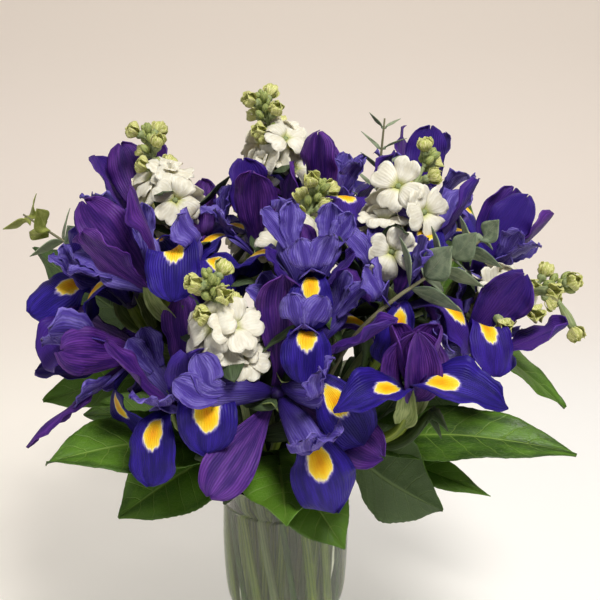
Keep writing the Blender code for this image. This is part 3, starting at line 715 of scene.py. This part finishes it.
def add_shut_petals(bm, seat, axis, dice):
    """Three petals wrapped round each other: the middle of a bloom that is still shut."""
    away = outward(seat)
    front = (away - away.dot(axis) * axis).normalized()
    for k in range(3):
        out = Matrix.Rotation(k * math.tau / 3 - 0.35, 3, axis) @ front
        path = [(1.5, 1), (6.5, 9), (8.0, 20), (5.5, 31), (1.0, 40)]
        knots = [(seat + (out * far + axis * rise) * MM, axis.cross(out)) for far, rise in path]
        edge = wavy(dice, 1.6, 2.4)

        def shape(u, v):
            half = through(BUD_HALF, v)
            crease = 0.8 * math.exp(-((u - 0.3) * half / 1.5) ** 2) * math.sin(math.pi * v)
            return u * half * MM, 0, (0.8 * u * u * half + edge(u, v) * 0.7 - crease) * MM

        sheet(bm, knots, 12, 20, shape, 2, dice.random() * PLAIN_TINT)


def add_wilted(bm, seat, dice):
    """A spent petal that has shrunk to a curled strip and hangs away from the vase."""
    out = outward(seat).normalized()
    path = [(2, 0), (26, -8), (50, -24), (66, -32), (78, -44)]
    across = UP.cross(out) + UP * 0.5
    knots = [(seat + (out * far + UP * rise) * MM, across) for far, rise in path]
    edge = wavy(dice, 3.0, 1.6)

    def shape(u, v):
        half = through(WILTED_HALF, v)
        return u * half * MM, 0, (0.8 * u * u * half + edge(u, v) * 1.4) * MM

    sheet(bm, knots, 8, 26, shape, 2, dice.random() * PLAIN_TINT)


# Lengths that the outlines are drawn for.
FALL_LENGTH, STYLE_LENGTH, STANDARD_LENGTH = 0.0614, 0.046, 0.060
# How far a bloom that is still shut is closed, and the bloom that has a spent petal too.
CLOSED = {"01": 1.0}
SPENT = "11"
# The bloom whose falls on the left have their yellow flash further out, because a crest lies over them.
LOW_BLAZE = "02"


def build_bloom(key, seat, axis):
    """A bloom on its seat: falls, style arms and standards along the blades of its CAD node."""
    node = f"iris_bloom_{key}"
    cad = welded(node)
    levels = [seat + axis * level for level in HEART_LEVELS]
    bm, dice = new_bmesh(), random.Random(node)
    closed = CLOSED.get(key, 0)
    for foot, rings in blades(cad, levels, HEART_RADIUS):
        out = foot - seat - (foot - seat).dot(axis) * axis
        halves = [wide.length for _, wide in rings]
        # Where a standard is already broad, a fall is still a narrow haft.
        is_standard = len(rings) == 4 and halves[1] > 0.6 * halves[2]
        knots = facing_up(foot, rings, axis * 0.4 - out.normalized() if is_standard else axis)
        size = length_of(knots)
        if len(rings) == 3:
            add_style(bm, knots, size / STYLE_LENGTH, dice, closed)
        elif is_standard:
            add_standard(bm, lengthened(knots, PETAL_EXTRA), size / STANDARD_LENGTH, dice, closed)
        else:
            low = key == LOW_BLAZE and rings[-1][0].x < seat.x
            add_fall(bm, lengthened(knots, PETAL_EXTRA), size / FALL_LENGTH, dice, closed, low)
    cad.free()
    if closed:
        add_shut_petals(bm, seat, axis, dice)
    if key == SPENT:
        add_wilted(bm, seat, dice)
    # The heart is a tube in near-black violet, painted shade in the bloom's middle.
    heart = [seat - axis * 0.001, seat + axis * 0.004, seat + axis * 0.009]
    tube(bm, heart, [(0, 0.0030), (0.5, 0.0040), (0.8, 0.0026), (1, 0.0008)], 10, 8, 3)
    piece(f"bloom_{key}", bm, [FALL, STYLE, STANDARD, HEART_PAINTED_SHADE], [node], "iris_petal")


SPATHE_HALF = [(0, 3.4), (0.3, 6.4), (0.65, 5.4), (0.9, 2.2), (1, 0.3)]
STRAP_HALF = [(0, 2.6), (0.25, 7.0), (0.6, 6.8), (0.85, 3.8), (1, 0.3)]


def add_strap(bm, points, side, dice):
    """A narrow leaf that clasps the stem above the rim and leans away from it as it rises."""
    lean = dice.uniform(0.6, 1.3)
    across = (points[-1] - points[0]).normalized().cross(side)
    count = len(points) - 1
    knots = [(spot + side * (0.002 + 0.020 * lean * (k / count) ** 1.6), across)
             for k, spot in enumerate(points)]
    end, wide = knots.pop()
    knots.append((end - (points[-1] - points[-2]).normalized() * dice.uniform(0.012, 0.03), wide))

    def shape(u, v):
        half = through(STRAP_HALF, v)
        return u * half * MM, 0, 0.4 * abs(u) * half * MM

    sheet(bm, knots, 4, 16, shape, 2, dice.random())


def build_iris_stem(key):
    """An iris stem with the sheath under its bloom, and the seat and axis that it gives the bloom."""
    node = f"iris_stem_{key}"
    cad = welded(node)
    points = centres_up(cad, 6)
    cad.free()
    axis = (points[-1] - points[-2]).normalized()
    bm, dice = new_bmesh(), random.Random(node)
    radius = STEM_RADIUS["iris"]
    thick = [(0, radius), (0.85, radius), (0.97, radius * 1.3), (1, radius * 1.2)]
    tube(bm, points, thick, 12, 40, 0, dice.random())
    side = around(axis, dice.uniform(0, math.tau))
    for turn in (0, math.pi):
        out = Matrix.Rotation(turn, 3, axis) @ side
        across = axis.cross(out)
        reach = dice.uniform(0.85, 1.1)
        low, high = points[-3].lerp(points[-2], 0.35), points[-1] + axis * 0.016 * reach
        knots = [(low + out * 0.0030, -across), (points[-2] + out * 0.0056, -across),
                 (points[-1] + out * 0.0066, -across), (high + out * 0.0062, -across)]

        def shape(u, v):
            half = through(SPATHE_HALF, v)
            return u * half * MM, 0, -0.55 * u * u * half * MM

        sheet(bm, knots, 8, 16, shape, 1, dice.random())
        add_strap(bm, points[4:], across * math.cos(turn), dice)
    piece(f"stem_{key}", bm, [IRIS_GREEN, SPATHE, STRAP], [node], "iris_stem")
    return points[-1], axis


# ---- stock ----


PETAL_HALF = [(0, 1.4), (0.2, 3.6), (0.42, 6.4), (0.68, 8.4), (0.88, 7.6), (1, 4.2)]
LANCE_HALF = [(0, 1.2), (0.2, 4.0), (0.5, 7.2), (0.75, 6.4), (0.93, 3.0), (1, 0.4)]


def add_petal(bm, throat, way, out, path, wide, finish, dice):
    """A ruffled petal along a path of (outward, forward) steps in millimetres."""
    across, edge = way.cross(out), wavy(dice, 1.6, 1.5)
    knots = [(throat + (out * far + way * rise) * MM, across) for far, rise in path]

    def shape(u, v):
        half = through(PETAL_HALF, v) * wide
        notch = -1.6 * max(0, v - 0.8) / 0.2 * max(0, 1 - abs(u) * 2.2) * wide
        lift = edge(u, v) * 1.2 * v + 0.3 * math.sin(7 * v) * v + 0.5 * abs(u)
        return u * half * MM, notch * MM, lift * wide * MM

    # A small petal is made of fewer faces.
    fine = 1 if wide > 0.6 else 0.6
    sheet(bm, knots, round(8 * fine), round(10 * fine), shape, finish, dice.random())


def add_floret(bm, base, way, reach, dice):
    """A white flower of four ruffled petals round a small curled heart, on a green calyx."""
    start = dice.uniform(0, math.tau)
    throat = base + way * reach * 0.6
    calyx = [(0, 0.0010), (0.35, 0.0012), (0.6, 0.0022), (1, 0.0016)]
    tube(bm, [base, base.lerp(throat, 0.5), throat], calyx, 8, 8, 1, dice.random())
    for k in range(4):
        out = around(way, start + k * math.pi / 2 + dice.uniform(-0.2, 0.2))
        far, drop = dice.uniform(0.95, 1.2), dice.uniform(-0.25, 0.3)
        path = [(0.6, -2), (3.5 * far, 1.2 + k % 2), (9 * far, 1.8 + k % 2), (14.2 * far, 1.2 - 14.2 * drop)]
        add_petal(bm, throat, way, out, path, 1.0, 0, dice)
    for k in range(3 if dice.random() < 0.3 else 0):
        out = around(way, start + k * 2.1 + 0.5)
        far = dice.uniform(0.8, 1.2)
        path = [(0.3, -1), (1.6, 2.4), (3.6 * far, 5.0), (6.2 * far, 5.4)]
        add_petal(bm, throat, way, out, path, 0.5, 0, dice)


def add_rosette(bm, base, way, length, dice):
    """A flower about to open: a green calyx and yellow-green petals folded into a cup."""
    throat = base + way * length * 0.55
    calyx = [(0, 0.0009), (0.4, 0.0012), (0.75, 0.0030), (1, 0.0024)]
    tube(bm, [base, base.lerp(throat, 0.5), throat], calyx, 8, 8, 1, dice.random())
    for k in range(6):
        out = around(way, k * 1.9 + dice.uniform(0, 0.4))
        far = (1.0 if k < 3 else 0.6) * dice.uniform(0.9, 1.1)
        path = [(0.8, -1), (3.4 * far, 1.4), (4.6 * far, 4.4), (3.2 * far, 7.4)]
        add_petal(bm, throat, way, out, path, 0.46, 3, dice)


def add_lance(bm, start, way, out, dice):
    """A narrow grey-green leaf of the stock's stem."""
    reach = dice.uniform(0.034, 0.048)
    knots = [(start + (way * rise + out * far) * reach, way.cross(out))
             for far, rise in ((0, 0), (0.3, 0.3), (0.62, 0.5), (0.95, 0.5 * dice.uniform(0.6, 1.3)))]
    edge = wavy(dice, 1.5, 2.0)

    def shape(u, v):
        half = through(LANCE_HALF, v)
        return u * half * MM, 0, (0.25 * abs(u) * half + edge(u, v) * 0.8) * MM

    sheet(bm, knots, 6, 14, shape, 4, dice.random())


def add_bud(bm, base, way, length, radius, dice):
    """A bud on a short stalk: an egg with a green foot."""
    tip = base + way * length
    neck = base.lerp(tip, 0.35)
    tube(bm, [base, neck], [(0, 0.0008), (1, 0.0009)], 6, 2, 1, dice.random())
    swell = [(0, radius * 0.45), (0.2, radius * 0.9), (0.5, radius), (0.8, radius * 0.72), (1, radius * 0.15)]
    tube(bm, [neck, neck.lerp(tip, 0.5), tip], swell, 8, 7, 2, dice.random())


# Extra flowers at the front of a spike: their share of the way up it, the way they look and their reach.
FRONT_ROSETTES = {"6": ((0.3, (0.2, -1, -0.25)), (0.5, (0.3, -1, -0.1)), (0.62, (0.35, -1, 0.25)),
                        (0.85, (0.3, -0.6, -0.6)))}
FRONT_FLORETS = {"3": ((0.3, (0.3, -0.9, 0.2)),),
                 "5": ((0.22, (0.1, -1, 0.1)), (0.45, (0.5, -0.9, 0.3)), (0.62, (-0.3, -0.9, 0.4)))}
FRONT_FLORET_REACH, FRONT_ROSETTE_REACH = 0.048, 0.056
# A blade wider or longer than this becomes a floret, and any other a rosette and a bud.
FLORET_HALF, FLORET_REACH = 0.0045, 0.0165
# The least length of a rosette, and the length and radius of the bud beside it.
ROSETTE_LEAST, SIDE_BUD = 0.011, (0.011, 0.0024)
TIP_BUDS = 9
# The turn from one leaf or bud to the next, how many leaves each step of a stem has, and where they start.
NEXT_TURN, LANCES, LEAFY_FROM = 2.4, 3, RIM - 0.01


def build_stock(key):
    """A stock spike: its stem, florets from its foot up, and buds towards its tip."""
    node = f"stock_{key}"
    cad = welded(node)
    radius = STEM_RADIUS["stock"]
    points = spike_line(cad, radius)
    places = blades(cad, points, radius)
    cad.free()
    bm, dice = new_bmesh(), random.Random(node)
    tube(bm, points, [(0, radius), (0.7, radius * 0.95), (1, radius * 0.4)], 8, 50, 1, 0.5)
    base, tip = points[ROUTE_RINGS - 1], points[-1]
    axis = (tip - base).normalized()
    for foot, rings in places:
        way = (rings[-1][0] - foot).normalized()
        reach = (rings[-1][0] - foot).length
        if rings[-1][1].length > FLORET_HALF or reach > FLORET_REACH:
            add_floret(bm, foot, way, reach, dice)
            out = way - way.dot(axis) * axis
            other = Matrix.Rotation(math.pi / 2 + dice.uniform(-0.3, 0.3), 3, axis) @ out
            spot = foot - out.normalized() * radius + axis * dice.uniform(0.002, 0.006)
            if dice.random() < 0.5:
                add_floret(bm, spot, (other + axis * 0.6).normalized(), reach * 0.8, dice)
            else:
                length = max(reach * 0.8, ROSETTE_LEAST)
                add_rosette(bm, spot, (other + axis * 0.9).normalized(), length, dice)
        else:
            add_rosette(bm, foot, way, max(reach, ROSETTE_LEAST), dice)
            other = Matrix.Rotation(math.pi / 2, 3, axis) @ way
            add_bud(bm, foot, (other + axis * 0.5).normalized(), *SIDE_BUD, dice)
    for share, way in FRONT_FLORETS.get(key, ()):
        add_floret(bm, base.lerp(tip, share), Vector(way).normalized(), FRONT_FLORET_REACH, dice)
    for share, way in FRONT_ROSETTES.get(key, ()):
        add_rosette(bm, base.lerp(tip, share), Vector(way).normalized(), FRONT_ROSETTE_REACH, dice)
    for k in range(TIP_BUDS):
        start = tip - axis * 0.0016 * k
        way = (around(axis, k * NEXT_TURN) * (0.25 + 0.08 * k) + axis).normalized()
        add_bud(bm, start, way, 0.006 + 0.0005 * k, 0.0016 + 0.0001 * k, dice)
    for k, low in enumerate(points[:ROUTE_RINGS - 1]):
        high = points[k + 1]
        way = (high - low).normalized()
        for leaf in range(LANCES if low.z > LEAFY_FROM else 0):
            out = around(way, NEXT_TURN * (LANCES * k + leaf))
            add_lance(bm, low.lerp(high, leaf / LANCES), way, out, dice)
    finishes = [STOCK_PETAL, STOCK_GREEN, STOCK_BUD, STOCK_OPENING, STOCK_LEAF]
    piece(f"stock_spike_{key}", bm, finishes, [node], "stock")


# ---- salal and eucalyptus ----


SALAL_HALF = [(0, 0.04), (0.08, 0.42), (0.2, 0.8), (0.42, 1), (0.62, 0.88), (0.8, 0.56), (0.92, 0.22),
              (1, 0.02)]
# Salal leaves turn their upper sides away from this point in the bouquet's middle.
HUB = Vector((0, 0, 0.2))


def add_salal_leaf(bm, knots, width, dice):
    """A broad leaf, folded a little along its midrib, quilted between its veins and wavy at its edges."""
    edge, fold = wavy(dice, 1.7, 2.0), dice.uniform(0.06, 0.2)

    def shape(u, v):
        half = through(SALAL_HALF, v) * width * (1 + 0.012 * math.sin(v * 190))
        off = abs(u) * half
        rib = -0.7 * MM * math.exp(-(off / 0.0011) ** 2)
        vein = (v - abs(u) * 0.14) * 9
        quilt = 0.45 * MM * abs(math.sin(math.pi * vein)) * min(1, off / 0.006)
        return u * half, 0, fold * off + rib + quilt + edge(u, v) * 0.0018

    sheet(bm, knots, 18, 50, shape, 1, dice.random())


# Where an inner leaf's tip lies within the box of its twig's CAD node, from its lowest corner to its highest.
INNER_LEAF_TIP = {"1": (0.04, 0.8, 0.74)}
INNER_LEAF_HALF = 0.023


def build_twig(key):
    """A salal twig with the leaves of its CAD node, and an inner leaf from its end where it has one."""
    node = f"salal_{key}"
    cad = welded(node)
    radius = STEM_RADIUS["salal"]
    points = centres_up(cad, 4, radius)
    leaves = blades(cad, points, radius)
    cad.free()
    bm, dice = new_bmesh(), random.Random(node)
    tube(bm, points, [(0, radius), (0.8, radius), (1, radius * 0.8)], 8, 36, 0, 0.5)
    for start, rings in leaves:
        knots = facing_up(start, rings, (rings[-1][0] - HUB).normalized() + UP * 0.8)
        width = max(wide.length for _, wide in rings)
        stalk = [start - (rings[0][0] - start) * 0.1, rings[0][0], rings[1][0]]
        tube(bm, stalk, [(0, 0.0012), (0.5, 0.0010), (1, 0.0004)], 6, 8, 0, 0.5)
        add_salal_leaf(bm, knots, width, dice)
    if key in INNER_LEAF_TIP:
        low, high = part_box(node)
        tip = Vector([a + (b - a) * part for a, b, part in zip(low, high, INNER_LEAF_TIP[key])])
        start = points[-1]
        away = outward(start)
        across = (tip - start).cross(away).normalized()
        rings = [(start.lerp(tip, share) + UP * 0.008 * math.sin(math.pi * share), across)
                 for share in (0.3, 0.6, 0.85, 1)]
        add_salal_leaf(bm, facing_up(start, rings, away), INNER_LEAF_HALF, dice)
    leafy = piece(f"salal_twig_{key}", bm, [TWIG_BARK, SALAL_TOP, SALAL_BACK], [node], "salal")
    leafy.modifiers["Thickness"].material_offset = 1


GUM_HALF = [(0, 0.03), (0.1, 0.18), (0.28, 0.36), (0.45, 0.38), (0.65, 0.27), (0.85, 0.12), (1, 0.005)]
# How broad each sprig's leaves are for their length, as a share of the outline, and how far they run on.
GUM_WIDTH = {"1": 1.0, "2": 0.28, "3": 0.9}
GUM_EXTRA = 0.004
# Where the young leaves start on a sprig that has them, as a share of its leafy length.
YOUNG_FROM = {"1": 0.7}


def build_sprig(key):
    """A eucalyptus sprig with its opposite leaves."""
    node = f"eucalyptus_{key}"
    cad = welded(node)
    radius = STEM_RADIUS["eucalyptus"]
    points = spike_line(cad, radius)
    leaves = blades(cad, points, radius)
    cad.free()
    bm, dice = new_bmesh(), random.Random(node)
    tube(bm, points, [(0, radius), (0.7, radius * 0.9), (1, radius * 0.3)], 8, 50, 0, 0.5)
    base, axis = points[ROUTE_RINGS - 1], (points[-1] - points[-2]).normalized()
    for start, rings in leaves:
        share = (start - base).dot(axis) / (points[-1] - base).length
        knots = lengthened(facing_up(start, rings, axis), GUM_EXTRA)
        reach = length_of(knots)
        bend = dice.uniform(-0.05, 0.12)

        def shape(u, v):
            half = through(GUM_HALF, v) * reach * GUM_WIDTH[key]
            return u * half, 0, 0.12 * abs(u) * half - bend * reach * v * v

        sheet(bm, knots, 8, 16, shape, 2 if share > YOUNG_FROM.get(key, 1) else 1, dice.random())
    finishes = [GUM_BARK, GUM_LEAF, GUM_YOUNG] if key in YOUNG_FROM else [GUM_BARK, GUM_LEAF]
    piece(f"eucalyptus_sprig_{key}", bm, finishes, [node], "eucalyptus")


# ---- the vase and its water ----


# Steps up the vase's side and round it.
SIDE_STEPS, SPIN_STEPS = 48, 96
# The vase's floor, the bend of its inner heel, and how far the water's mesh reaches into the glass.
FLOOR, HEEL_BEND, LAP = 0.0062, 0.006, 0.0001


def turned(name, profile, finish, nodes, slot):
    """A closed shape spun about Z from a profile that starts and ends on the axis."""
    bm = new_bmesh()
    verts = [bm.verts.new((r, 0, z)) for r, z in profile]
    edges = [bm.edges.new(pair) for pair in zip(verts, verts[1:])]
    bmesh.ops.spin(bm, geom=verts + edges, cent=(0, 0, 0), axis=(0, 0, 1), angle=math.tau,
                   steps=SPIN_STEPS, use_merge=True)
    bmesh.ops.remove_doubles(bm, verts=bm.verts, dist=0.00001)
    bmesh.ops.recalc_face_normals(bm, faces=bm.faces)
    for face in bm.faces:
        face.smooth = True
    return piece(name, bm, [finish], nodes, slot)


def outer_side():
    """(height, radius) knots of the vase's outer side, from its CAD node."""
    widest = {}
    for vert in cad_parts["vase"].data.vertices:
        height = round(vert.co.z, 4)
        widest[height] = max(widest.get(height, 0), vert.co.xy.length)
    return sorted(widest.items())


def build_vase():
    """The glass with its rounded rim and heel, and the water a hair's breadth past its inner wall."""
    # Heights that have points only near the axis are left out.
    side = [knot for knot in outer_side() if knot[1] > 0.01]
    heights = [RIM * k / SIDE_STEPS for k in range(SIDE_STEPS + 1)]
    outer = [(through(side, z), z) for z in heights]
    inner = [(through(side, z) - WALL, z) for z in heights if z > FLOOR + HEEL_BEND]
    corner = inner[0][0]
    heel = [(corner - HEEL_BEND * (1 - math.sin(a)), FLOOR + HEEL_BEND * (1 - math.cos(a)))
            for a in (0, 0.4, 0.8, 1.2, 1.5)]
    lip = WALL / 2
    bead = [(through(side, RIM) - lip + lip * math.cos(a), RIM - lip + lip * math.sin(a))
            for a in (0.4, 0.9, 1.57, 2.2, 2.7)]
    outer = [spot for spot in outer if spot[1] < RIM - lip]
    inner = [spot for spot in inner if spot[1] < RIM - lip]
    foot = [(0, 0.0008), (0.018, 0.0008), (0.021, 0)]
    profile = foot + outer + bead + inner[::-1] + heel[::-1] + [(0, FLOOR)]
    turned("glass_vase", profile, GLASS, ["vase"], "glass")
    wet = [(through(side, z) - WALL + LAP, z) for z in heights if FLOOR + HEEL_BEND < z < WATER_TOP - 0.002]
    low = [(r + LAP, z - LAP) for r, z in heel]
    brim = wet[-1][0]
    surface = [(brim + LAP, WATER_TOP), (brim - 0.0015, WATER_TOP - 0.0008), (0, WATER_TOP - 0.001)]
    turned("vase_water", [(0, FLOOR - LAP)] + low + wet + surface, WATER, ["water"], "water")


# ---- stage ----


def painted_light_paper_finish():
    """Pale paper whose glow is painted light, with painted light and shade in its tone: warmer on the left,
    whiter on the right, and a shade warmer and darker where it rises behind.
    """
    # The glow is painted light: the paper gives off light of its own, as if the lamps lit it.
    made, tree, shader, uv, _ = finish_named("pale paper with painted light", Roughness=0.9, Emission_Strength=0.43)
    place = parts_of(tree, put(tree, "TexCoord").outputs["Object"])
    patch = cloud(tree, uv, 3.0, 2.0)
    # Painted light and shade: the tone is whiter towards the right, darker further back and darker still up
    # the backdrop.
    painted_light_right = eased(tree, place[0], -0.35, 0.4)
    painted_light_near_tone = mixed(tree, painted_light_right, shade(242, 237, 228), shade(240, 240, 238))
    colour = mixed(tree, eased(tree, place[1], 0.2, 1.3), painted_light_near_tone, shade(234, 223, 213))
    colour = mixed(tree, eased(tree, place[2], 0.08, 0.5), colour, shade(217, 206, 195))
    colour = mixed(tree, times(tree, patch, 0.15), colour, shade(222, 212, 200))
    # The painted tone is the glow's colour, and a quarter darker it is the paper's own colour.
    tree.links.new(colour, shader.inputs["Emission Color"])
    tree.links.new(mixed(tree, 0.25, colour, shade(0, 0, 0)), shader.inputs["Base Color"])
    return made


def build_stage():
    """A pale floor that sweeps up into a backdrop."""
    bm = new_bmesh()
    knots = [(Vector((0, y, z)), Vector((1, 0, 0))) for y, z in
             ((-2.5, 0), (-1, 0), (0.4, 0), (1.0, 0.02), (1.35, 0.3), (1.45, 0.9), (1.5, 2), (1.5, 3.5))]
    sheet(bm, knots, 2, 60, lambda u, v: (u * 4, 0, 0), 0, 0)
    stage = object_of("backdrop", bm, [painted_light_paper_finish()])


# The camera's aim, its angle over level and its distance.
CAMERA_TARGET = Vector((0.010, 0, 0.25))
CAMERA_TILT, CAMERA_DISTANCE = math.radians(15), 0.65
# The sky's light, and what it has more where the camera sees it.
SKY_STRENGTH, SKY_SEEN_EXTRA = 0.12, 0.8


def add_light(name, place, aim, size, power, colour):
    """A round soft lamp at a place, turned towards its aim."""
    lamp = bpy.data.lights.new(name, "AREA")
    lamp.shape, lamp.size, lamp.energy, lamp.color = "DISK", size, power, colour
    obj = bpy.data.objects.new(name, lamp)
    obj.location = place
    obj.rotation_euler = (Vector(aim) - Vector(place)).to_track_quat("-Z", "Y").to_euler()
    bpy.context.scene.collection.objects.link(obj)


def build_studio():
    """The soft lamps, the sky and the camera."""
    scene = bpy.context.scene
    world = bpy.data.worlds.new("studio")
    world.use_nodes = True
    tree = world.node_tree
    sky = tree.nodes["Background"].inputs
    sky["Color"].default_value = shade(236, 228, 218)
    seen = put(tree, "LightPath").outputs["Is Camera Ray"]
    tree.links.new(plus(tree, times(tree, seen, SKY_SEEN_EXTRA), SKY_STRENGTH), sky["Strength"])
    scene.world = world
    add_light("key", (0.35, -0.85, 1.45), (0, 0, 0.22), 0.5, 26, (1.0, 0.97, 0.93))
    add_light("fill", (-1.2, -0.9, 0.9), (0, 0, 0.2), 1.2, 4, (0.95, 0.97, 1.0))
    add_light("wall", (0.3, 0.6, 2.2), (0, 1.4, 0.5), 1.4, 8, (1.0, 0.98, 0.95))
    scene.view_settings.view_transform = "Standard"
    camera = bpy.data.cameras.new("camera")
    camera.lens, camera.sensor_width = 60, 36
    eye = bpy.data.objects.new("camera", camera)
    back = Vector((0, -math.cos(CAMERA_TILT), math.sin(CAMERA_TILT)))
    eye.location = CAMERA_TARGET + back * CAMERA_DISTANCE
    eye.rotation_euler = (CAMERA_TARGET - eye.location).to_track_quat("-Z", "Y").to_euler()
    scene.collection.objects.link(eye)
    scene.camera = eye


def keys_of(kind):
    """The numbers of the nodes of one kind, in order."""
    return sorted(name[len(kind) + 1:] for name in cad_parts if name.startswith(kind + "_"))


build_vase()
for key in keys_of("iris_stem"):
    build_bloom(key, *build_iris_stem(key))
for key in keys_of("stock"):
    build_stock(key)
for key in keys_of("salal"):
    build_twig(key)
for key in keys_of("eucalyptus"):
    build_sprig(key)
build_stage()
build_studio()
